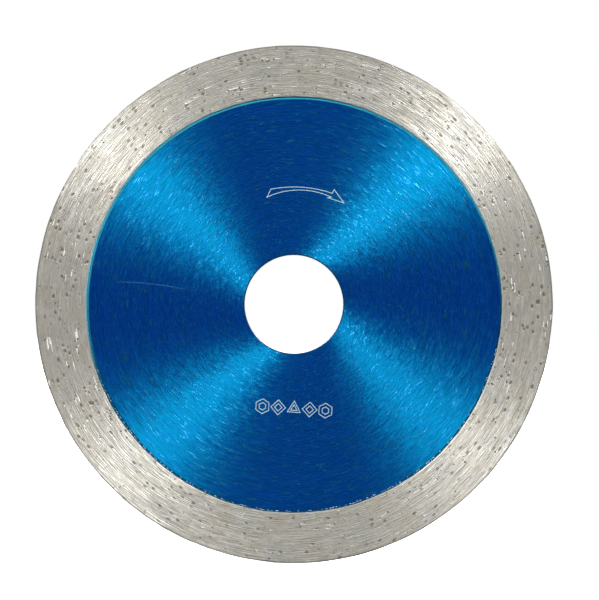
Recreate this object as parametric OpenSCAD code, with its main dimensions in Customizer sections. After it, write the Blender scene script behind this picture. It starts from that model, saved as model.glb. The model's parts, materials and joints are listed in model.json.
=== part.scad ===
// Continuous-rim diamond blade for tile and stone.
// It stands upright and spins about the Y axis, with its front towards -Y.
// The origin is the centre of the bore, at half thickness. Lengths are in millimetres.

/* [Blade] */
// Outside diameter of the blade
blade_d = 105; // [100:1:125]
// Diameter of the bore
bore_d = 20; // [16:0.5:22]
// Thickness of the steel core
core_t = 1.2; // [1:0.1:1.4]
// Thickness of the diamond rim
rim_t = 1.8; // [1.6:0.1:2.4]
// Width of the rim that shows beyond the core, along the radius
rim_w = 10.4; // [7:0.1:14]

/* [Steel core] */
// Chamfer on each edge of the bore
bore_chamfer = 0.1; // [0.05:0.05:0.3]
// How far the core's edge reaches into the rim
tongue_w = 2.2; // [1.8:0.1:3]
// Number of notches that key the core's edge into the rim
notch_count = 60; // [30:6:72]
// Diameter of the round end of each notch
notch_d = 1.4; // [1:0.1:1.6]

/* [Diamond rim] */
// Width of the sloping shoulder where the rim rises from the core
shoulder_w = 0.2; // [0.1:0.05:0.5]
// Chamfer on the two outer corners of the rim
rim_chamfer = 0.12; // [0.05:0.01:0.3]

/* [Diamond crystals] */
// Size of a crystal, corner to corner
crystal_d = 0.42; // [0.3:0.02:0.6]
// How far a crystal can stand proud of the bond
crystal_proud = 0.04; // [0.02:0.01:0.08]
// Number of bared crystals on each side of the rim
side_crystals = 300; // [60:20:400]
// Number of bared crystals on the outer edge
edge_crystals = 132; // [22:11:165]

/* [Lacquer] */
// Thickness of the blue lacquer on each side
lacquer_t = 0.05; // [0.03:0.01:0.1]
// Bare steel left between the bore and the lacquer
lacquer_bare = 0.15; // [0.1:0.05:0.5]

/* [Etched marks] */
// Width of the etched lines
line_w = 0.2; // [0.15:0.01:0.25]
// Radius of the outer curve of the rotation arrow
arrow_r = 23.85; // [22:0.05:26]
// Distance from the blade's centre to the middle of the row of marks
marks_r = 21.1; // [18:0.1:25]
// Height of each small mark
mark_h = 3; // [2:0.1:3]
// Distance from one small mark to the next
mark_pitch = 3.2; // [3.2:0.1:4]
// Tilt of the row of marks
marks_tilt = -4; // [-8:1:8]

/* [Hidden] */
$fn = 120;

steel = [0.72, 0.73, 0.74];
bond = [0.70, 0.68, 0.64];
blue = [0.02, 0.36, 0.68];
diamond = [0.42, 0.42, 0.40];

bore_r = bore_d / 2;
rim_outer_r = blade_d / 2;
rim_inner_r = rim_outer_r - rim_w;
core_r = rim_inner_r + tongue_w;
through = 2 * rim_t;

// The notches' centres, far enough in that each mouth is narrower than its round end
notch_r = core_r - 0.35 * notch_d;

// The arrow, in the plane of the blade: X to the right and Y up
arrow_tail_a = 101.3;
arrow_neck_a = 71;
arrow_tail_tip = [-5.45, arrow_r - 2.1];
arrow_barbs = [[8.2, arrow_r - 0.55], [6.9, arrow_r - 2.2]];
arrow_tip = [10.15, arrow_r - 3.25];
arrow_inner_r = 15.5;
arrow_inner_centre = [1.04, arrow_r - 16.12];
arrow_inner_from = 65;
arrow_inner_to = 110;
arc_steps = 9;

// Numbers of sides of the small marks, from left to right
mark_sides = [6, 4, 3, 4, 6];
// Size of the outline inside each mark, as a share of the mark
mark_inside = 0.5;

golden_angle = 180 * (3 - sqrt(5));
side_seed = 11;
back_seed = 12;
edge_seed = 13;

// Stands up a shape that is drawn lying flat with its front up
module upright() {
    rotate([90, 0, 0]) children();
}

function unit(v) = v / norm(v);

function normal(a, b) = let (d = unit(b - a)) [-d.y, d.x];

// A closed outline moved sideways by d, with mitred corners
function moved(points, d) = let (n = len(points)) [
    for (i = [0 : n - 1])
        let (
            before = normal(points[(i + n - 1) % n], points[i]),
            after = normal(points[i], points[(i + 1) % n])
        )
        points[i] + d * (before + after) / (1 + before * after)
];

function on_arc(centre, r, from, to) = [
    for (i = [0 : arc_steps])
        let (a = from + (to - from) * i / arc_steps)
        centre + r * [cos(a), sin(a)]
];

function regular(r, sides) = [
    for (i = [0 : sides - 1])
        let (a = 90 - i * 360 / sides)
        r * [cos(a), sin(a)]
];

// A line of the etched width along a closed outline
module etched_line(points) {
    difference() {
        polygon(moved(points, line_w / 2));
        polygon(moved(points, -line_w / 2));
    }
}

module rotation_arrow() {
    outer = on_arc([0, 0], arrow_r, arrow_tail_a, arrow_neck_a);
    inner = on_arc(arrow_inner_centre, arrow_inner_r, arrow_inner_from, arrow_inner_to);
    etched_line(concat([arrow_tail_tip], outer, [arrow_barbs[0], arrow_tip, arrow_barbs[1]], inner));
}

module mark_row() {
    middle = (len(mark_sides) - 1) / 2;
    for (i = [0 : len(mark_sides) - 1], share = [1, mark_inside])
        translate([(i - middle) * mark_pitch, 0])
            etched_line(regular(share * mark_h / 2, mark_sides[i]));
}

// The steel blank, with its bore and keyed edge
module core_shape() {
    half = core_t / 2;
    difference() {
        rotate_extrude() polygon([
            [bore_r, -half + bore_chamfer],
            [bore_r + bore_chamfer, -half],
            [core_r, -half],
            [core_r, half],
            [bore_r + bore_chamfer, half],
            [bore_r, half - bore_chamfer]
        ]);
        for (i = [0 : notch_count - 1])
            rotate(i * 360 / notch_count) translate([notch_r, 0, 0])
                cylinder(d = notch_d, h = through, center = true, $fn = 32);
    }
}

module steel_core() {
    color(steel) upright() core_shape();
}

module diamond_rim() {
    half = rim_t / 2;
    foot = core_t / 2;
    color(bond) upright() difference() {
        rotate_extrude() polygon([
            [rim_inner_r, -foot],
            [rim_inner_r + shoulder_w, -half],
            [rim_outer_r - rim_chamfer, -half],
            [rim_outer_r, -half + rim_chamfer],
            [rim_outer_r, half - rim_chamfer],
            [rim_outer_r - rim_chamfer, half],
            [rim_inner_r + shoulder_w, half],
            [rim_inner_r, foot]
        ]);
        core_shape();
    }
}

// One side's coat of lacquer, lying on the core's upper face
module lacquer_film() {
    translate([0, 0, core_t / 2]) difference() {
        cylinder(r = rim_inner_r, h = lacquer_t);
        translate([0, 0, -lacquer_t])
            cylinder(r = bore_r + bore_chamfer + lacquer_bare, h = 3 * lacquer_t);
    }
}

module front_lacquer() {
    color(blue) upright() difference() {
        lacquer_film();
        linear_extrude(through) {
            rotation_arrow();
            translate([0, -marks_r]) rotate(marks_tilt) mark_row();
        }
    }
}

module back_lacquer() {
    color(blue) upright() mirror([0, 0, 1]) lacquer_film();
}

// A diamond crystal: eight faces, a little longer one way, turned at random
module crystal(turn, stretch) {
    r = crystal_d / 2;
    rotate(turn) polyhedron(
        points = [[r, 0, 0], [0, r, 0], [-r, 0, 0], [0, -r, 0], [0, 0, r * stretch], [0, 0, -r * stretch]],
        faces = [[0, 4, 1], [1, 4, 2], [2, 4, 3], [3, 4, 0], [1, 5, 0], [2, 5, 1], [3, 5, 2], [0, 5, 3]]
    );
}

// Bared crystals spread evenly over the rim's upper face
module side_grit(seed) {
    low = rim_inner_r + shoulder_w + crystal_d;
    high = rim_outer_r - rim_chamfer - crystal_d;
    depth = crystal_d / 2 - crystal_proud;
    turn = rands(0, 360, 3 * side_crystals, seed);
    stretch = rands(0.75, 1, side_crystals, seed + 100);
    shift = rands(-0.4, 0.4, side_crystals, seed + 200);
    for (i = [0 : side_crystals - 1]) {
        share = (i + 0.5 + shift[i]) / side_crystals;
        r = sqrt(low * low + (high * high - low * low) * share);
        rotate(i * golden_angle + seed) translate([r, 0, rim_t / 2 - depth])
            crystal([turn[3 * i], turn[3 * i + 1], turn[3 * i + 2]], stretch[i]);
    }
}

module grit_front() {
    color(diamond) upright() side_grit(side_seed);
}

module grit_back() {
    color(diamond) upright() mirror([0, 0, 1]) side_grit(back_seed);
}

module grit_edge() {
    reach = rim_t / 2 - rim_chamfer - crystal_d / 2;
    depth = crystal_d / 2 - crystal_proud;
    turn = rands(0, 360, 3 * edge_crystals, edge_seed);
    stretch = rands(0.75, 1, edge_crystals, edge_seed + 100);
    across = rands(-reach, reach, edge_crystals, edge_seed + 200);
    color(diamond) upright() for (i = [0 : edge_crystals - 1])
        rotate(i * 360 / edge_crystals) translate([rim_outer_r - depth, 0, across[i]])
            crystal([turn[3 * i], turn[3 * i + 1], turn[3 * i + 2]], stretch[i]);
}

steel_core();
diamond_rim();
front_lacquer();
back_lacquer();
grit_front();
grit_back();
grit_edge();
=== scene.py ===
import json
import math

import bmesh
import bpy
import numpy as np
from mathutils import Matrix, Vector


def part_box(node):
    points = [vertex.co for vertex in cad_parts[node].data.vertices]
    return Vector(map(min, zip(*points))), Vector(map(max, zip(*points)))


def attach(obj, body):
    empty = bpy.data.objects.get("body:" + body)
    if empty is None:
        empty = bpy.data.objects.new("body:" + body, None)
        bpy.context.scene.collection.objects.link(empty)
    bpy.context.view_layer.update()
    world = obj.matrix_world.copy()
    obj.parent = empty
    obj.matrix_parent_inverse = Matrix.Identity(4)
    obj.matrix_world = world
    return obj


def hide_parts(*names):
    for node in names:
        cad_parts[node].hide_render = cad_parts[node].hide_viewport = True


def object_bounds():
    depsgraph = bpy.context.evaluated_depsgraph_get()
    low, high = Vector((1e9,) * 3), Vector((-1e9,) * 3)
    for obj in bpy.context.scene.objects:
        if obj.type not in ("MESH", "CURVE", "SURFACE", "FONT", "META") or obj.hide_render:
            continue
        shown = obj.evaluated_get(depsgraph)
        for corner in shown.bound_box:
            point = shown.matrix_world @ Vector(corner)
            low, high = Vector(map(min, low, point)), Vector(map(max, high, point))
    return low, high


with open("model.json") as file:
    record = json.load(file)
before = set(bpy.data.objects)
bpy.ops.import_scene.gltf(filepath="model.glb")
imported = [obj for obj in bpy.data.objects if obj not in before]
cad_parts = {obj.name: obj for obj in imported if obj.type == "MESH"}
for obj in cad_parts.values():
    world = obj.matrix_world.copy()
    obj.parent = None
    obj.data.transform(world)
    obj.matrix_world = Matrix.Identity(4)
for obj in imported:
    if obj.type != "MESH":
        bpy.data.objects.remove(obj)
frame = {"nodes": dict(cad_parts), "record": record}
cad_low, cad_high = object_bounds()

# Sizes are in metres, worked out from the frame. The blade stands in the XZ plane, with its front towards -Y.
# Angles round the blade run clockwise from up, as seen from the front.
MM = 0.001
RIM_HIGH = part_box("diamond_rim")[1]
CORE_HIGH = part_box("steel_core")[1]
FILM_LOW, FILM_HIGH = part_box("front_lacquer")
OUTER_R = RIM_HIGH.x
RIM_HALF = RIM_HIGH.y
CORE_R = CORE_HIGH.x
CORE_HALF = CORE_HIGH.y
FILM_TOP = -FILM_LOW.y
BORE = frame["record"]["mounts"][0]
BORE_R = BORE["dims"]["r_mm"] * MM
BLADE_D = 2 * OUTER_R
RIM_IN = FILM_HIGH.x            # the rim starts where the lacquer ends
SHOULDER = 0.08 * MM            # width of the rounded step up from the core to the rim
EDGE = 0.12 * MM                # rounding of the rim's outer corners

BODY = "root"
FRONT, BACK = -1, 1             # the sign of Y on each side


# ---- Camera, lights and stage ----

LENS, SENSOR = 150.0, 36.0      # in millimetres
FRAME_W = 1.1587 * BLADE_D      # width of the view at the blade
CAMERA_X = 0.0108 * BLADE_D     # the camera stands a little to the right of the blade's axis, and above it
CAMERA_Z = 0.0083 * BLADE_D

# Each soft box: name, angle round the blade, angle from straight ahead of the front, side of the box, watts
SOFT_BOXES = [
    ("right_front", 45.3, 60, 0.55, 44.0),
    ("left_front", -49.5, 60, 0.55, 40.0),
    ("top_front", 0, 60, 0.9, 3.0),
    ("right_side", 90, 90, 0.8, 2.5),
    ("left_side", -90, 90, 0.8, 4.0),
    ("right_back", 44, 120, 0.6, 42.0),
    ("left_back", -48, 120, 0.6, 38.0),
]
LIGHT_AWAY = 2.0                # distance of each soft box
FILL_LIGHT = 0.045              # strength of the even light from all round
FLOOR_HALF = 3.0


def make_camera():
    data = bpy.data.cameras.new("camera")
    data.lens, data.sensor_width = LENS, SENSOR
    data.clip_start, data.clip_end = 0.01, 20
    camera = bpy.data.objects.new("camera", data)
    bpy.context.scene.collection.objects.link(camera)
    distance = FRAME_W * LENS / SENSOR
    camera.location = (CAMERA_X, -distance - RIM_HALF, CAMERA_Z)
    camera.rotation_euler = (math.radians(90), 0, 0)
    bpy.context.scene.camera = camera


def make_lights():
    for name, azimuth, off_axis, side, watts in SOFT_BOXES:
        data = bpy.data.lights.new(name, "AREA")
        data.shape, data.size, data.energy = "SQUARE", side, watts
        light = bpy.data.objects.new(name, data)
        bpy.context.scene.collection.objects.link(light)
        a, t = math.radians(azimuth), math.radians(off_axis)
        outward = Vector((math.sin(a) * math.sin(t), -math.cos(t), math.cos(a) * math.sin(t)))
        light.location = outward * LIGHT_AWAY
        light.rotation_euler = (-outward).to_track_quat("-Z", "Y").to_euler()
        light.visible_camera = False


def make_world():
    """White as the camera sees it, and a weak even light for everything else."""
    world = bpy.data.worlds.new("studio")
    bpy.context.scene.world = world
    world.use_nodes = True
    nodes, links = world.node_tree.nodes, world.node_tree.links
    nodes.clear()
    seen = nodes.new("ShaderNodeBackground")
    seen.inputs["Color"].default_value = (1, 1, 1, 1)
    fill = nodes.new("ShaderNodeBackground")
    fill.inputs["Color"].default_value = (1, 1, 1, 1)
    fill.inputs["Strength"].default_value = FILL_LIGHT
    path = nodes.new("ShaderNodeLightPath")
    mix = nodes.new("ShaderNodeMixShader")
    out = nodes.new("ShaderNodeOutputWorld")
    links.new(path.outputs["Is Camera Ray"], mix.inputs[0])
    links.new(fill.outputs[0], mix.inputs[1])
    links.new(seen.outputs[0], mix.inputs[2])
    links.new(mix.outputs[0], out.inputs[0])
    bpy.context.scene.view_settings.view_transform = "Standard"


# ---- Shader building ----

class Shader:
    """Builds one material's nodes. Each method adds a node and gives its output."""

    def __init__(self, name):
        self.material = bpy.data.materials.new(name)
        self.material.use_nodes = True
        self.tree = self.material.node_tree
        self.tree.nodes.clear()

    def put(self, socket, value):
        """Links a socket to another, or sets its value. A colour is three numbers."""
        if isinstance(value, bpy.types.NodeSocket):
            self.tree.links.new(value, socket)
        elif socket.type == "RGBA":
            socket.default_value = (*value, 1)
        else:
            socket.default_value = value

    def node(self, kind, inputs, **settings):
        node = self.tree.nodes.new(kind)
        for key, value in settings.items():
            setattr(node, key, value)
        for key, value in inputs.items():
            self.put(node.inputs[key], value)
        return node

    def math(self, operation, a, b=0.0):
        return self.node("ShaderNodeMath", {0: a, 1: b}, operation=operation).outputs[0]

    def add(self, a, b):
        return self.math("ADD", a, b)

    def sub(self, a, b):
        return self.math("SUBTRACT", a, b)

    def mul(self, a, b):
        return self.math("MULTIPLY", a, b)

    def vector(self, x, y, z):
        return self.node("ShaderNodeCombineXYZ", {0: x, 1: y, 2: z}).outputs[0]

    def split(self, vector):
        return self.node("ShaderNodeSeparateXYZ", {0: vector}).outputs

    def place(self):
        """The place in the blade's own frame, in metres."""
        return self.node("ShaderNodeTexCoord", {}).outputs["Object"]

    def ramp(self, value, low, high, to_low=0.0, to_high=1.0, smooth=False):
        """Goes from to_low to to_high as the value goes from low to high, and stays there beyond."""
        kind = "SMOOTHSTEP" if smooth else "LINEAR"
        inputs = {"Value": value, "From Min": low, "From Max": high, "To Min": to_low, "To Max": to_high}
        return self.node("ShaderNodeMapRange", inputs, interpolation_type=kind, clamp=True).outputs[0]

    def mix(self, factor, a, b):
        node = self.node("ShaderNodeMix", {0: factor}, data_type="RGBA")
        self.put(node.inputs[6], a)
        self.put(node.inputs[7], b)
        return node.outputs[2]

    def noise(self, vector, scale=1.0, detail=2.0, rough=0.5):
        inputs = {"Vector": vector, "Scale": scale, "Detail": detail, "Roughness": rough}
        return self.node("ShaderNodeTexNoise", inputs, noise_dimensions="3D").outputs[0]

    def cells(self, vector):
        """Distance to the nearest random point, and that point's random colour."""
        inputs = {"Vector": vector, "Scale": 1.0, "Randomness": 1.0}
        node = self.node("ShaderNodeTexVoronoi", inputs, voronoi_dimensions="3D", feature="F1")
        return node.outputs["Distance"], node.outputs["Color"]

    def bump(self, height, strength, distance):
        inputs = {"Height": height, "Strength": strength, "Distance": distance}
        return self.node("ShaderNodeBump", inputs).outputs[0]

    def finish(self, inputs):
        bsdf = self.node("ShaderNodeBsdfPrincipled", inputs)
        out = self.tree.nodes.new("ShaderNodeOutputMaterial")
        self.tree.links.new(bsdf.outputs[0], out.inputs[0])
        return self.material


class Polar:
    """The place on the blade in polar terms, for patterns that run round it.

    A centre beside the blade's own turns the pattern, so that its strokes cross the others at a small angle.
    """

    def __init__(self, s, centre=(0.0, 0.0)):
        self.s = s
        self.place = s.place()
        self.x, self.y, self.z = s.split(self.place)
        flat = s.vector(s.sub(self.x, centre[0]), 0.0, s.sub(self.z, centre[1]))
        self.r = s.node("ShaderNodeVectorMath", {0: flat}, operation="LENGTH").outputs["Value"]
        self.unit = s.split(s.node("ShaderNodeVectorMath", {0: flat}, operation="NORMALIZE").outputs[0])
        self.side = s.math("SIGN", self.y)

    def along(self, per_turn, width, shift=0.0):
        """Noise coordinates whose cells are long round the blade and narrow along the radius.

        The shift picks another stretch of the noise, and the two sides of the blade differ too.
        """
        s = self.s
        between_sides = 37.0
        across = s.add(s.mul(self.r, 1 / width), s.mul(self.side, between_sides))
        x = s.add(s.mul(self.unit[0], per_turn), shift)
        return s.vector(x, s.mul(self.unit[2], per_turn), s.add(across, shift))

    def tangent(self, turn, edge=0.0):
        """The radial direction, turned clockwise as seen from the front by an angle in radians.

        Where edge is 1, on a wall that faces along the radius, it leans over to run across that wall.
        """
        s = self.s
        sine, cosine = s.math("SINE", turn), s.math("COSINE", turn)
        x = s.add(s.mul(self.unit[0], cosine), s.mul(self.unit[2], sine))
        z = s.sub(s.mul(self.unit[2], cosine), s.mul(self.unit[0], sine))
        return s.vector(x, edge, z)


# ---- Materials ----

SPIRAL = 31.0 * MM * MM         # the brushing spirals near the bore, by this over the radius squared

# The long stray scratch on the front, an arc to the left of the bore
SCRATCH_FROM = -36.4 * MM       # its left end, in X
SCRATCH_LONG = 15.5 * MM
SCRATCH_Z = 4.55 * MM           # its height at the left end
SCRATCH_BEND = 0.0073 / MM      # how it falls away from there, times the distance squared

TEAL_TURN = math.radians(-10)   # where the bead of lacquer against the rim is palest, in the middle of its painted light


def long_scratch(s, p):
    """Where the long stray scratch runs, from 0 (outside it) to 1."""
    along = s.sub(p.x, SCRATCH_FROM)
    height = s.sub(SCRATCH_Z, s.mul(s.mul(along, along), SCRATCH_BEND))
    away = s.math("ABSOLUTE", s.sub(p.z, height))
    fades_in = s.ramp(along, 0.0, 1.5 * MM)
    fades_out = s.ramp(along, SCRATCH_LONG, SCRATCH_LONG - 3 * MM)
    line = s.mul(s.ramp(away, 0.16 * MM, 0.05 * MM), s.mul(fades_in, fades_out))
    on_front = s.ramp(p.y, 0.0, -0.1 * MM)
    return s.mul(line, on_front)


def lacquer_material():
    """Deep translucent blue over a brushed face: a dark body colour and a cyan, circularly brushed sheen."""
    navy, royal = (0.0, 0.002, 0.15), (0.0, 0.008, 0.23)
    pale_arc, dark_arc = (0.0, 0.018, 0.28), (0.0, 0.002, 0.14)
    cloud, hair = (0.0, 0.004, 0.15), (0.008, 0.05, 0.36)
    scratch, bore_shade_colour = (0.04, 0.14, 0.42), (0.0, 0.01, 0.06)
    faint_stroke, bright_stroke = (0.0, 0.07, 0.45), (0.05, 0.58, 1.0)

    s = Shader("blue_lacquer")
    p = Polar(s)
    above, below = Polar(s, (2.0 * MM, 4.0 * MM)), Polar(s, (-3.0 * MM, -3.0 * MM))
    broad = s.noise(p.along(11.0, 0.5 * MM), rough=0.6)
    fine = s.noise(above.along(15.0, 0.27 * MM, 5.0), rough=0.6)
    other = s.noise(below.along(15.0, 0.27 * MM, 25.0), rough=0.6)
    strokes = s.add(s.mul(other, 0.5), s.mul(fine, 0.5))
    arcs = s.noise(p.along(3.5, 0.34 * MM, 11.0))
    mottle = s.noise(p.place, scale=180.0, detail=3.0)
    hairs = s.noise(p.along(12.0, 0.2 * MM, 41.0), rough=0.6)
    lines = s.math("MAXIMUM", s.ramp(fine, 0.585, 0.655), s.ramp(other, 0.585, 0.655))
    bright = s.mul(lines, s.ramp(broad, 0.42, 0.58))
    # Painted shade: the lacquer darkens in a thin ring at the bore's edge.
    bore_shade_mask = s.ramp(p.r, BORE_R + 0.25 * MM, BORE_R + 0.6 * MM, 0.7, 0.0, smooth=True)

    body = s.mix(s.ramp(strokes, 0.42, 0.58), navy, royal)
    body = s.mix(s.ramp(arcs, 0.5, 0.64, 0.0, 0.5), body, pale_arc)
    body = s.mix(s.ramp(arcs, 0.5, 0.36, 0.0, 0.5), body, dark_arc)
    body = s.mix(s.ramp(mottle, 0.45, 0.75, 0.0, 0.3), body, cloud)
    body = s.mix(s.ramp(hairs, 0.55, 0.66, 0.0, 0.5), body, hair)
    body = s.mix(s.mul(long_scratch(s, p), 0.7), body, scratch)
    body = s.mix(bore_shade_mask, body, bore_shade_colour)
    body = s.mix(s.ramp(bright, 0.0, 0.4), body, faint_stroke)
    body = s.mix(s.ramp(bright, 0.35, 0.9), body, bright_stroke)

    rough = s.ramp(strokes, 0.38, 0.62, 0.60, 0.46)
    rough = s.add(rough, s.ramp(p.r, 12 * MM, 26 * MM, 0.05, 0.0))
    rough = s.sub(rough, s.mul(bright, 0.15))
    spiral = s.math("DIVIDE", SPIRAL, s.mul(p.r, p.r))
    wander = s.mul(s.sub(broad, 0.5), s.ramp(p.r, 12 * MM, 30 * MM, 0.5, 0.3))
    relief = s.mul(strokes, s.ramp(p.r, 12 * MM, 28 * MM, 0.35, 1.0))
    return s.finish({
        "Base Color": body,
        "Roughness": rough,
        "Metallic": s.ramp(bright, 0.0, 0.6, 0.0, 0.92),
        "Normal": s.bump(relief, 1.0, 0.12 * MM),
        "Tangent": p.tangent(s.add(spiral, wander)),
        "Anisotropic": 0.94,
        "IOR": 3.0,
        "Specular IOR Level": 0.76,
        "Specular Tint": (0.005, 0.61, 1.0),
        "Coat Weight": 0.25,
        "Coat Roughness": 0.12,
    })


def bond_material():
    """Sintered metal bond, ground in circles: warm grey, streaked and pitted, with painted shade in its pits
    and along its outer edge, and a painted highlight along its inner edge.
    """
    warm_dark, warm_light = (0.60, 0.575, 0.505), (0.80, 0.775, 0.695)
    arc, cool_patch, tan_patch = (0.60, 0.565, 0.49), (0.53, 0.54, 0.53), (0.60, 0.54, 0.43)
    speck, bright_stroke, dark_stroke = (0.50, 0.48, 0.43), (1.0, 0.985, 0.94), (0.36, 0.34, 0.30)
    pit_shade, shoulder_highlight = (0.20, 0.175, 0.15), (0.76, 0.80, 0.80)
    outline_shade_grey, edge_shade_grey = (0.22, 0.205, 0.18), (0.40, 0.38, 0.34)

    s = Shader("ground_bond")
    p = Polar(s)
    above, below = Polar(s, (0.0, 3.0 * MM)), Polar(s, (-2.0 * MM, -2.0 * MM))
    broad = s.noise(p.along(10.0, 0.8 * MM), detail=3.0, rough=0.65)
    fine = s.noise(above.along(9.0, 0.18 * MM, 3.0), rough=0.6)
    other = s.noise(below.along(11.0, 0.19 * MM, 21.0), rough=0.6)
    arcs = s.noise(p.along(3.0, 0.9 * MM, 9.0))
    patches = s.noise(p.place, scale=160.0, detail=3.0)
    grain = s.noise(p.place, scale=1500.0)
    bright = s.ramp(fine, 0.54, 0.66)
    dark = s.mul(s.ramp(other, 0.47, 0.36), s.ramp(broad, 0.62, 0.5))

    distance, cell = s.cells(p.along(38.0, 0.75 * MM, 1.0))
    pick = s.node("ShaderNodeSeparateColor", {0: cell}).outputs[0]
    crowded = s.ramp(s.noise(p.place, scale=260.0, detail=1.0), 0.4, 0.62, 0.0, 0.2)
    # Painted shade: the pits are darkened as well as bumped down.
    pits = s.mul(s.ramp(distance, 0.48, 0.22), s.ramp(s.add(pick, crowded), 0.88, 0.98))

    # Painted highlight: a paler band along the rim's inner edge, where its shoulder catches the light.
    shoulder = s.ramp(p.r, RIM_IN + 0.45 * MM, RIM_IN + 0.25 * MM, 0.0, 0.6)
    # Painted shade: the face darkens just inside the outer corner, and the outer edge darkens too, for the
    # dark outline of the rounded edge.
    near_edge = s.ramp(p.r, OUTER_R - 0.4 * MM, OUTER_R - EDGE, 0.0, 0.8)
    outline_shade = s.mul(near_edge, s.ramp(s.math("ABSOLUTE", p.y), 0.7 * MM, 0.84 * MM))
    rim_edge = s.ramp(p.r, OUTER_R - 0.1 * MM, OUTER_R - 0.03 * MM)

    tone = s.mix(s.ramp(broad, 0.36, 0.64), warm_dark, warm_light)
    tone = s.mix(s.ramp(arcs, 0.35, 0.65, 0.0, 0.3), tone, arc)
    tone = s.mix(s.ramp(patches, 0.5, 0.68, 0.0, 0.45), tone, cool_patch)
    tone = s.mix(s.ramp(patches, 0.5, 0.34, 0.0, 0.45), tone, tan_patch)
    tone = s.mix(s.ramp(grain, 0.36, 0.64, 0.0, 0.4), tone, speck)
    tone = s.mix(s.mul(bright, 0.7), tone, bright_stroke)
    tone = s.mix(s.mul(dark, 0.5), tone, dark_stroke)
    tone = s.mix(s.mul(pits, 0.8), tone, pit_shade)
    tone = s.mix(shoulder, tone, shoulder_highlight)
    tone = s.mix(outline_shade, tone, outline_shade_grey)
    tone = s.mix(s.mul(rim_edge, 0.6), tone, edge_shade_grey)

    rough = s.add(s.ramp(broad, 0.36, 0.64, 0.58, 0.49), s.mul(s.sub(dark, bright), 0.15))
    rough = s.add(rough, s.mul(rim_edge, 0.2))
    turn = s.mul(s.sub(broad, 0.5), 0.65)
    lines = s.mul(s.sub(fine, other), 1.2)
    relief = s.sub(s.add(lines, s.mul(broad, 0.5)), s.mul(pits, 0.6))
    return s.finish({
        "Base Color": tone,
        "Metallic": 0.6,
        "Roughness": rough,
        "Normal": s.bump(relief, 1.0, 0.08 * MM),
        "Tangent": p.tangent(turn, rim_edge),
        "Anisotropic": 0.87,
    })


def steel_material():
    """Bare sheet steel with circular brushing. It shows in the etched lines, under a last trace of blue."""
    dark, light = (0.66, 0.68, 0.71), (0.82, 0.84, 0.86)
    blue_trace, overspray = (0.66, 0.92, 1.0), (0.01, 0.08, 0.26)

    s = Shader("brushed_steel")
    p = Polar(s)
    strokes = s.noise(p.along(12.0, 0.12 * MM), detail=3.0)
    etched = s.ramp(p.r, BORE_R + 1.0 * MM, BORE_R + 1.5 * MM, 0.0, 0.9)
    round_bore = s.ramp(p.r, BORE_R + 0.6 * MM, BORE_R + 0.4 * MM)
    sprayed = s.mul(round_bore, s.ramp(s.math("ABSOLUTE", p.y), 0.4 * MM, 0.5 * MM))
    bore_wall = s.ramp(p.r, BORE_R + 0.05 * MM, BORE_R + 0.01 * MM)
    tone = s.mix(s.ramp(strokes, 0.3, 0.7), dark, light)
    tone = s.mix(etched, tone, blue_trace)
    tone = s.mix(sprayed, tone, overspray)
    return s.finish({
        "Base Color": tone,
        "Metallic": 0.4,
        "Roughness": s.ramp(strokes, 0.3, 0.7, 0.45, 0.32),
        "Normal": s.bump(strokes, 0.3, 0.02 * MM),
        "Tangent": p.tangent(0.0, bore_wall),
        "Anisotropic": 0.8,
    })


def tail_material():
    """Bond rubbed bright where it trails from a crystal."""
    dull, bright = (0.80, 0.79, 0.76), (1.0, 0.99, 0.97)

    s = Shader("rubbed_bond")
    streaks = s.noise(Polar(s).along(20.0, 0.2 * MM, 4.0))
    return s.finish({
        "Base Color": s.mix(s.ramp(streaks, 0.35, 0.65), dull, bright),
        "Metallic": 0.4,
        "Roughness": s.ramp(streaks, 0.3, 0.7, 0.55, 0.4),
        "Normal": s.bump(streaks, 0.5, 0.02 * MM),
    })


def lip_material():
    """Lacquer gathered against the rim, wide in the upper part. Its colour is painted light: a bright teal
    above, partly the lacquer's own teal, and a dark navy below as painted shadow, with a painted highlight
    where it climbs the rim.
    """
    teal_dark, teal_light = (0.02, 0.36, 0.56), (0.06, 0.52, 0.72)
    shadow_navy_dark, shadow_navy_light = (0.0, 0.006, 0.03), (0.0, 0.022, 0.11)
    painted_highlight_pale = (0.36, 0.68, 0.76)

    s = Shader("lacquer_lip")
    p = Polar(s)
    streaks = s.noise(p.along(12.0, 0.2 * MM, 7.0))
    dots = s.noise(p.along(60.0, 0.3 * MM, 2.0), detail=1.0)
    # Painted light by direction: the upper part is a bright teal, partly the lacquer's own tint and partly
    # painted light; the lower part is a dark navy, a painted shadow.
    towards = s.add(s.mul(p.unit[0], math.sin(TEAL_TURN)), s.mul(p.unit[2], math.cos(TEAL_TURN)))
    upper = s.ramp(towards, -0.3, 0.6, smooth=True)
    outer = s.ramp(p.r, RIM_IN - 0.5 * MM, RIM_IN - 0.3 * MM, 0.2, 1.0)
    # Painted highlight: a pale band where the bead climbs the rim, in the upper part.
    thin = s.mul(upper, s.ramp(p.r, RIM_IN - 0.12 * MM, RIM_IN + 0.05 * MM))
    teal = s.mix(s.ramp(streaks, 0.35, 0.65), teal_dark, teal_light)
    navy = s.mix(s.ramp(dots, 0.4, 0.6), shadow_navy_dark, shadow_navy_light)
    tone = s.mix(s.mul(upper, outer), navy, teal)
    tone = s.mix(thin, tone, painted_highlight_pale)
    return s.finish({
        "Base Color": tone,
        "Roughness": s.add(s.ramp(streaks, 0.3, 0.7, 0.55, 0.45), s.ramp(upper, 0.0, 1.0, 0.3, 0.0)),
        "Normal": s.bump(streaks, 0.3, 0.02 * MM),
        "Tangent": p.tangent(0.0),
        "Anisotropic": 0.9,
        "IOR": 2.4,
        "Specular IOR Level": 0.3,
        "Specular Tint": (0.03, 0.75, 0.9),
    })


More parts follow.
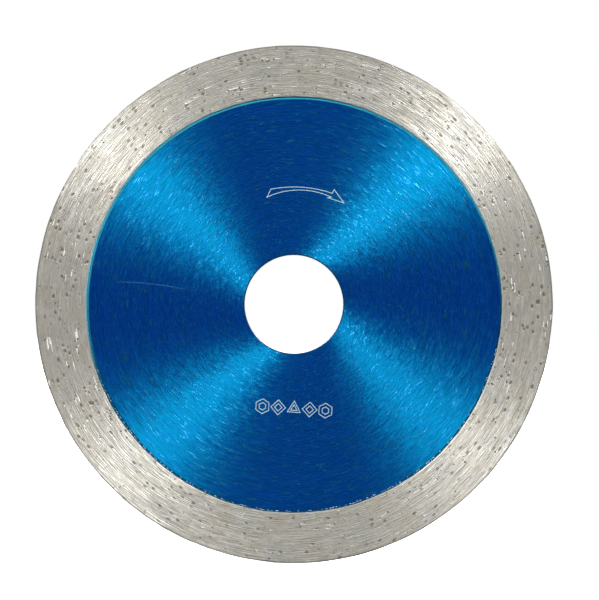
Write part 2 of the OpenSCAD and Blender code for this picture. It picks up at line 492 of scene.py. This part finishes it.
def flash_material():
    """Bright bond squeezed out into the corner between rim and core."""
    blue_grey, pale = (0.34, 0.44, 0.60), (0.84, 0.88, 0.95)

    s = Shader("bond_flash")
    shade = s.noise(s.place(), scale=2000.0)
    return s.finish({
        "Base Color": s.mix(s.ramp(shade, 0.35, 0.65), blue_grey, pale),
        "Metallic": 0.2,
        "Roughness": s.ramp(shade, 0.3, 0.7, 0.5, 0.35),
        "Normal": s.bump(shade, 0.3, 0.02 * MM),
    })


def diamond_material():
    """Dark, part-glassy diamond grit."""
    dark, light = (0.035, 0.03, 0.025), (0.19, 0.17, 0.15)

    s = Shader("diamond_grit")
    shade = s.noise(s.place(), scale=2500.0)
    return s.finish({
        "Base Color": s.mix(s.ramp(shade, 0.35, 0.65), dark, light),
        "Roughness": s.ramp(shade, 0.3, 0.7, 0.35, 0.6),
        "Normal": s.bump(shade, 0.4, 0.03 * MM),
        "IOR": 2.0,
    })


def floor_material():
    """A white floor that gives off its own light, and so shows no shadow."""
    grey, white = (0.90, 0.90, 0.90), (0.94, 0.94, 0.94)

    s = Shader("pale_floor")
    return s.finish({
        "Base Color": s.mix(s.noise(s.place(), scale=6.0), grey, white),
        "Roughness": 0.9,
        "Specular IOR Level": 0.0,
        "Emission Color": (1.0, 1.0, 1.0),
        "Emission Strength": 1.0,
    })


# ---- Mesh building ----

def face_outwards(mesh):
    """Turns every face of each closed shape to point out of it."""
    work = bmesh.new()
    work.from_mesh(mesh)
    bmesh.ops.recalc_face_normals(work, faces=work.faces)
    work.to_mesh(mesh)
    work.free()


def new_object(name, points, faces, material, smooth=False):
    mesh = bpy.data.meshes.new(name)
    mesh.from_pydata([tuple(q) for q in points], [], [tuple(f) for f in faces])
    mesh.validate()
    face_outwards(mesh)
    mesh.polygons.foreach_set("use_smooth", [smooth] * len(mesh.polygons))
    mesh.materials.append(material)
    mesh.update()
    made = bpy.data.objects.new(name, mesh)
    bpy.context.scene.collection.objects.link(made)
    return made


def piece(name, points, faces, material, smooth=False):
    """A piece of the blade, parented to the blade's body."""
    made = new_object(name, points, faces, material, smooth)
    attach(made, BODY)
    return made


def on_blade(r, angle, y):
    """Points at radius r and an angle round the blade, at depth y."""
    return np.stack(np.broadcast_arrays(r * np.sin(angle), y, r * np.cos(angle)), -1)


def lathe(name, profile, turns, shape, material):
    """A ring turned from a closed profile of (radius, y). shape(r, y, angle) gives the final radius and y."""
    n = len(profile)
    angles = np.arange(turns) * 2 * math.pi / turns
    angle, r = np.meshgrid(angles, [q[0] for q in profile], indexing="ij")
    angle, y = np.meshgrid(angles, [q[1] for q in profile], indexing="ij")
    r, y = shape(r, y, angle)
    i, j = np.meshgrid(np.arange(turns), np.arange(n), indexing="ij")
    next_i, next_j = (i + 1) % turns, (j + 1) % n
    points = on_blade(r, angle, y).reshape(-1, 3)
    faces = np.stack([i * n + j, next_i * n + j, next_i * n + next_j, i * n + next_j], -1).reshape(-1, 4)
    return piece(name, points, faces, material, smooth=True)


def wave(rng, strongest, weakest, falloff):
    """A random function of the angle round the blade, made of whole waves, about -1 to 1."""
    count = np.arange(strongest, weakest)
    size = count ** -falloff
    phase = rng.uniform(0, 2 * math.pi, len(count))
    size = size / np.sqrt((size ** 2).sum() / 2) / 2
    return lambda a: (size * np.sin(count * np.asarray(a)[..., None] + phase)).sum(-1)


def quarter(steps):
    """Pairs of sine and cosine over a quarter turn."""
    return [(math.sin(a), math.cos(a)) for a in np.linspace(0, math.pi / 2, steps)]


# ---- The rim ----

RIM_TURNS = 1080                # steps round the rim
NICKS = 40                      # small nicks in the outer edge
STRAY = 0.05 * MM               # how far the rim's outlines stray from true circles
SWAY = 0.02 * MM                # how far its faces sway
STRAY_OUT = 0.5 * MM            # how far in from the outer edge the straying fades out
STRAY_IN = 0.6 * MM             # how far out from the inner edge it fades out
inner_wave = wave(np.random.default_rng(seed=4), 6, 120, 0.6)


def inner_edge(a):
    """How far the rim's inner edge stands out from its true circle."""
    return STRAY * inner_wave(a) + 0.03 * MM


def make_rim(material, seed):
    """The rim, with a groove for the core's edge, a slightly uneven outline and small nicks."""
    rng = np.random.default_rng(seed)
    low, high = CORE_HALF, RIM_HALF
    shoulder = [(RIM_IN + SHOULDER * (1 - c), low + (high - low) * s) for s, c in quarter(5)]
    face = [(r, high) for r in np.linspace(RIM_IN + SHOULDER, OUTER_R - EDGE, 24)[1:-1]]
    corner = [(OUTER_R - EDGE * (1 - s), high - EDGE * (1 - c)) for s, c in quarter(4)]
    one_side = shoulder + face + corner
    edge = [(OUTER_R, y) for y in np.linspace(high - EDGE, EDGE - high, 7)[1:-1]]
    other_side = [(r, -y) for r, y in reversed(one_side)]
    groove = [(CORE_R, -low), (CORE_R, low)]
    profile = one_side + edge + other_side + groove

    outline = wave(rng, 5, 90, 0.7)
    sway = wave(rng, 2, 9, 1.0)
    nicks = []
    for _ in range(NICKS):
        where = rng.uniform(0, 2 * math.pi)
        width = rng.uniform(0.4, 1.4) * MM
        depth = rng.uniform(0.02, 0.06) * MM
        nicks.append((where, width, depth, rng.choice([FRONT, BACK])))

    def shape(r, y, a):
        off_core = abs(y) > CORE_HALF * 1.01
        outer_share = np.clip((r - (OUTER_R - STRAY_OUT)) / STRAY_OUT, 0, 1)
        inner_share = np.clip((RIM_IN + STRAY_IN - r) / STRAY_IN, 0, 1) * off_core
        r = r + STRAY * outline(a) * outer_share + inner_edge(a) * inner_share
        y = y + SWAY * sway(a) * off_core
        for where, width, depth, side in nicks:
            away = (a - where + math.pi) % (2 * math.pi) - math.pi
            dip = np.exp(-((away * OUTER_R / width) ** 2)) * (outer_share ** 2) * depth
            near = np.clip(0.5 + side * y / RIM_HALF, 0, 1)
            r = r - dip * near
        return r, y

    rim = lathe("rim_bond", profile, RIM_TURNS, shape, material)
    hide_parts("diamond_rim")


# ---- The crystals and their ridges ----

SIDE_CRYSTALS = 680             # on each side, half of them scattered and half gathered near those
EDGE_CRYSTALS = 400             # on the outer edge
CRYSTAL_SMALL = 0.26 * MM       # the smallest crystal on a side
CRYSTAL_SPREAD = 0.40 * MM      # how much larger the largest is
CLEAR_IN = 0.5 * MM             # no crystal's centre is nearer to the rim's inner edge
CLEAR_OUT = 0.35 * MM           # nor to its outer edge
GATHERED_R = 0.7 * MM           # how far the gathered crystals scatter from their hosts, along the radius
GATHERED_A = 1.1 * MM           # and round the blade
SIDE_FLAT = (1, 0.4, 1)         # the side crystals are worn flat
SIDE_DEPTH = 0.1                # how deep their centres lie, as a share of their size
EDGE_FLAT = (1, 1, 1)
EDGE_DEPTH = 0.42
TAILED = 0.28                   # share of the side crystals with a ridge of bond
TAIL_STEPS = 7
TAIL_WIDE = 0.8                 # width of a ridge, as a share of its crystal's size
TAIL_HIGH = 0.034 * MM          # height of a ridge at its crystal
TAIL_END = -0.004 * MM          # and at its far end, just inside the bond
TAIL_SUNK = 0.03 * MM           # how deep its foot lies in the bond


def crystal_faces():
    """A cuboctahedron's points and faces, the shape that diamond grit grows in."""
    mesh = bmesh.new()
    for a in (-1, 1):
        for b in (-1, 1):
            for q in ((a, b, 0), (a, 0, b), (0, a, b)):
                mesh.verts.new(Vector(q) / math.sqrt(2))
    bmesh.ops.convex_hull(mesh, input=mesh.verts)
    bmesh.ops.dissolve_limit(mesh, angle_limit=0.01, verts=mesh.verts, edges=mesh.edges)
    mesh.verts.index_update()
    points = np.array([v.co for v in mesh.verts])
    faces = [[v.index for v in f.verts] for f in mesh.faces]
    mesh.free()
    return points, faces


def random_turns(rng, count):
    """Random rotation matrices."""
    q = rng.normal(size=(count, 4))
    q /= np.linalg.norm(q, axis=1)[:, None]
    w, x, y, z = q.T
    return np.stack([
        1 - 2 * (y * y + z * z), 2 * (x * y - z * w), 2 * (x * z + y * w),
        2 * (x * y + z * w), 1 - 2 * (x * x + z * z), 2 * (y * z - x * w),
        2 * (x * z - y * w), 2 * (y * z + x * w), 1 - 2 * (x * x + y * y),
    ], -1).reshape(count, 3, 3)


def make_crystals(name, centres, sizes, flat, rng, material, stands_for):
    """Crystals of random shape and turn. flat scales them along X, Y and Z."""
    shape, faces = crystal_faces()
    count = len(centres)
    stretch = rng.uniform(0.5, 1.2, (count, 1, 3))
    points = (shape[None] * stretch) @ random_turns(rng, count) * sizes[:, None, None] / 2
    points = points * flat + centres[:, None]
    every = [[v + i * len(shape) for v in f] for i in range(count) for f in faces]
    made = piece(name, points.reshape(-1, 3), every, material)
    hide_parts(stands_for)


def make_tails(name, side, r, angle, widths, rng, material):
    """Ridges of rubbed bond that trail from the crystals, one way or the other along the brushing."""
    points, faces = [], []
    lengths = rng.uniform(0.6, 2.6, len(r)) * MM
    way = rng.choice([-1, 1], len(r))
    share = np.linspace(0, 1, TAIL_STEPS)
    top = TAIL_HIGH + (TAIL_END - TAIL_HIGH) * share
    for n in range(len(r)):
        base = len(points)
        half = widths[n] / 2 * (1 - share) ** 0.3 + 0.03 * MM
        a = angle[n] + way[n] * share * lengths[n] / r[n]
        for k in range(TAIL_STEPS):
            for across, up in ((-half[k], -TAIL_SUNK), (0.0, top[k]), (half[k], -TAIL_SUNK)):
                points.append(on_blade(r[n] + across, a[k], side * (RIM_HALF + up)))
        for k in range(TAIL_STEPS - 1):
            here, beyond = base + 3 * k, base + 3 * k + 3
            for c, d in ((0, 1), (1, 2), (2, 0)):
                faces.append((here + c, here + d, beyond + d, beyond + c))
        end = base + 3 * (TAIL_STEPS - 1)
        faces.append((base, base + 1, base + 2))
        faces.append((end + 2, end + 1, end))
    piece(name, points, faces, material)


def make_side(label, side, tail, diamond, seed):
    """The bared crystals on one side of the rim, and the ridges of bond that trail from some."""
    rng = np.random.default_rng(seed)
    low, high = (RIM_IN + CLEAR_IN) ** 2, (OUTER_R - CLEAR_OUT) ** 2
    r = np.sqrt(rng.uniform(low, high, SIDE_CRYSTALS))
    angle = rng.uniform(0, 2 * math.pi, SIDE_CRYSTALS)
    joined = np.arange(SIDE_CRYSTALS // 2, SIDE_CRYSTALS)
    host = rng.integers(0, SIDE_CRYSTALS // 2, len(joined))
    r[joined] = np.clip(r[host] + rng.normal(0, GATHERED_R, len(joined)), math.sqrt(low), math.sqrt(high))
    angle[joined] = angle[host] + rng.normal(0, GATHERED_A, len(joined)) / r[host]
    sizes = CRYSTAL_SMALL + CRYSTAL_SPREAD * rng.uniform(0, 1, SIDE_CRYSTALS) ** 2
    proud = rng.uniform(0.0, 0.03, SIDE_CRYSTALS) * MM
    centres = on_blade(r, angle, side * (RIM_HALF + proud - SIDE_DEPTH * sizes))
    make_crystals("crystals_" + label, centres, sizes, SIDE_FLAT, rng, diamond, "grit_" + label)
    tailed = rng.uniform(size=SIDE_CRYSTALS) < TAILED
    widths = sizes[tailed] * TAIL_WIDE
    make_tails("bond_tails_" + label, side, r[tailed], angle[tailed], widths, rng, tail)


def make_edge_crystals(diamond, seed):
    """The bared crystals on the rim's outer edge."""
    rng = np.random.default_rng(seed)
    sizes = rng.uniform(0.25, 0.55, EDGE_CRYSTALS) * MM
    angle = rng.uniform(0, 2 * math.pi, EDGE_CRYSTALS)
    y = rng.uniform(-1, 1, EDGE_CRYSTALS) * (RIM_HALF - 0.3 * MM)
    proud = rng.uniform(-0.02, 0.02, EDGE_CRYSTALS) * MM
    centres = on_blade(OUTER_R + proud - EDGE_DEPTH * sizes, angle, y)
    make_crystals("crystals_edge", centres, sizes, EDGE_FLAT, rng, diamond, "grit_edge")


# ---- The corner between the core and the rim ----

LIP_TURNS = 720                 # steps round the bead of lacquer
LIP_WIDE = 0.42 * MM            # its mean width on the core's side
LIP_SWING = 0.20 * MM           # how much wider or narrower it gets
LIP_TURN = math.radians(-35)    # where it is widest
LIP_STRAY = 0.07 * MM           # how far its edge strays
LIP_BULGE = 0.05 * MM           # how high it swells against the rim
LIP_OVER = 0.035 * MM           # how thick it lies on the rim
LIP_SUNK = 0.02 * MM            # how deep its underside lies in the core
REACH_LOW = 0.04 * MM           # how far it reaches onto the rim, at least
REACH_SWING = 0.10 * MM         # and how much further at most
REACH_TURN = math.radians(200)  # where it reaches furthest
FLASH_COUNT = 160               # beads of bond along the corner
FLASH_SIDES = 6
FLASH_FROM, FLASH_TO = math.radians(100), math.radians(252)
FLASH_TAPER = 0.7               # size of its top, as a share of its foot
FLASH_HIGH = 0.10 * MM          # how far it stands above the lacquer
FLASH_SUNK = 0.02 * MM          # how deep its foot lies in the lacquer


def reach_share(a):
    """How far the lacquer reaches onto the rim, from 0 (least) to 1."""
    return np.clip(1.5 * np.cos(a - REACH_TURN), 0, 1)


def rim_height(x):
    """How high the bead stands where it climbs the rim, a distance x out from the shoulder's foot."""
    shoulder = (RIM_HALF - CORE_HALF) * np.sqrt(1 - (1 - np.clip(x / SHOULDER, 0, 1)) ** 2)
    return CORE_HALF + LIP_OVER + shoulder


def make_lip(label, side, material, seed):
    """The bead of lacquer in the corner, widest towards the upper left as seen from the front."""
    rng = np.random.default_rng(seed)
    stray = wave(rng, 7, 160, 0.6)
    reach = REACH_LOW + REACH_SWING
    bottom = CORE_HALF - LIP_SUNK
    thin = FILM_TOP + 0.004 * MM
    bead = [(-a * LIP_WIDE, thin + LIP_BULGE * (1 - a) ** 3) for a in np.linspace(1, 0.1, 7)]
    climb = [(x, rim_height(x)) for x in np.linspace(0.01 * MM, reach, 6)]
    under = [(reach, bottom), (-LIP_WIDE, bottom)]
    is_under = np.array([False] * len(bead + climb) + [True] * len(under))[None, :]

    def shape(x, y, a):
        width = LIP_WIDE + LIP_SWING * np.cos(a - LIP_TURN) + LIP_STRAY * stray(a)
        out = (REACH_LOW + REACH_SWING * reach_share(a)) / reach
        y = np.where((x > 0) & ~is_under, rim_height(x * out), y)
        return RIM_IN + np.where(x < 0, x * width / LIP_WIDE, x * out + inner_edge(a)), side * y

    lathe("lacquer_lip_" + label, bead + climb + under, LIP_TURNS, shape, material)


def make_flash(label, side, material, seed):
    """Small beads of bond squeezed out along the corner, where the lacquer's bead is narrow."""
    rng = np.random.default_rng(seed)
    points, faces = [], []
    turn = np.arange(FLASH_SIDES) * 2 * math.pi / FLASH_SIDES
    for a in rng.uniform(FLASH_FROM, FLASH_TO, FLASH_COUNT):
        long, wide = rng.uniform(0.12, 0.6) * MM, rng.uniform(0.12, 0.20) * MM
        r = RIM_IN + inner_edge(a) - rng.uniform(0.06, 0.17) * MM
        foot = range(len(points), len(points) + FLASH_SIDES)
        top = range(foot.stop, foot.stop + FLASH_SIDES)
        for share, y in ((1, FILM_TOP - FLASH_SUNK), (FLASH_TAPER, FILM_TOP + FLASH_HIGH)):
            ring_r = r + share * wide / 2 * np.sin(turn)
            ring_a = a + share * long / 2 * np.cos(turn) / r
            points.extend(on_blade(ring_r, ring_a, side * y))
        for k in range(FLASH_SIDES):
            n = (k + 1) % FLASH_SIDES
            faces.append((foot[k], foot[n], top[n], top[k]))
        faces.append(tuple(top))
        faces.append(tuple(reversed(foot)))
    piece("bond_flash_" + label, points, faces, material)


# ---- Putting it together ----

def make_floor():
    half, z = FLOOR_HALF, cad_low.z
    corners = [(-half, -half, z), (half, -half, z), (half, half, z), (-half, half, z)]
    floor = new_object("floor", corners, [(0, 1, 2, 3)], floor_material())
    floor.visible_glossy = False
    floor.visible_diffuse = False


def paint(node, material):
    data = frame["nodes"][node].data
    data.materials.clear()
    data.materials.append(material)


make_camera()
make_lights()
make_world()
make_floor()
tail = tail_material()
diamond = diamond_material()
lacquer = lacquer_material()
lip = lip_material()
paint("steel_core", steel_material())
paint("front_lacquer", lacquer)
paint("back_lacquer", lacquer)
make_rim(bond_material(), seed=3)
make_side("front", FRONT, tail, diamond, seed=5)
make_side("back", BACK, tail, diamond, seed=6)
make_edge_crystals(diamond, seed=31)
make_lip("front", FRONT, lip, seed=8)
make_lip("back", BACK, lip, seed=9)
make_flash("front", FRONT, flash_material(), seed=15)
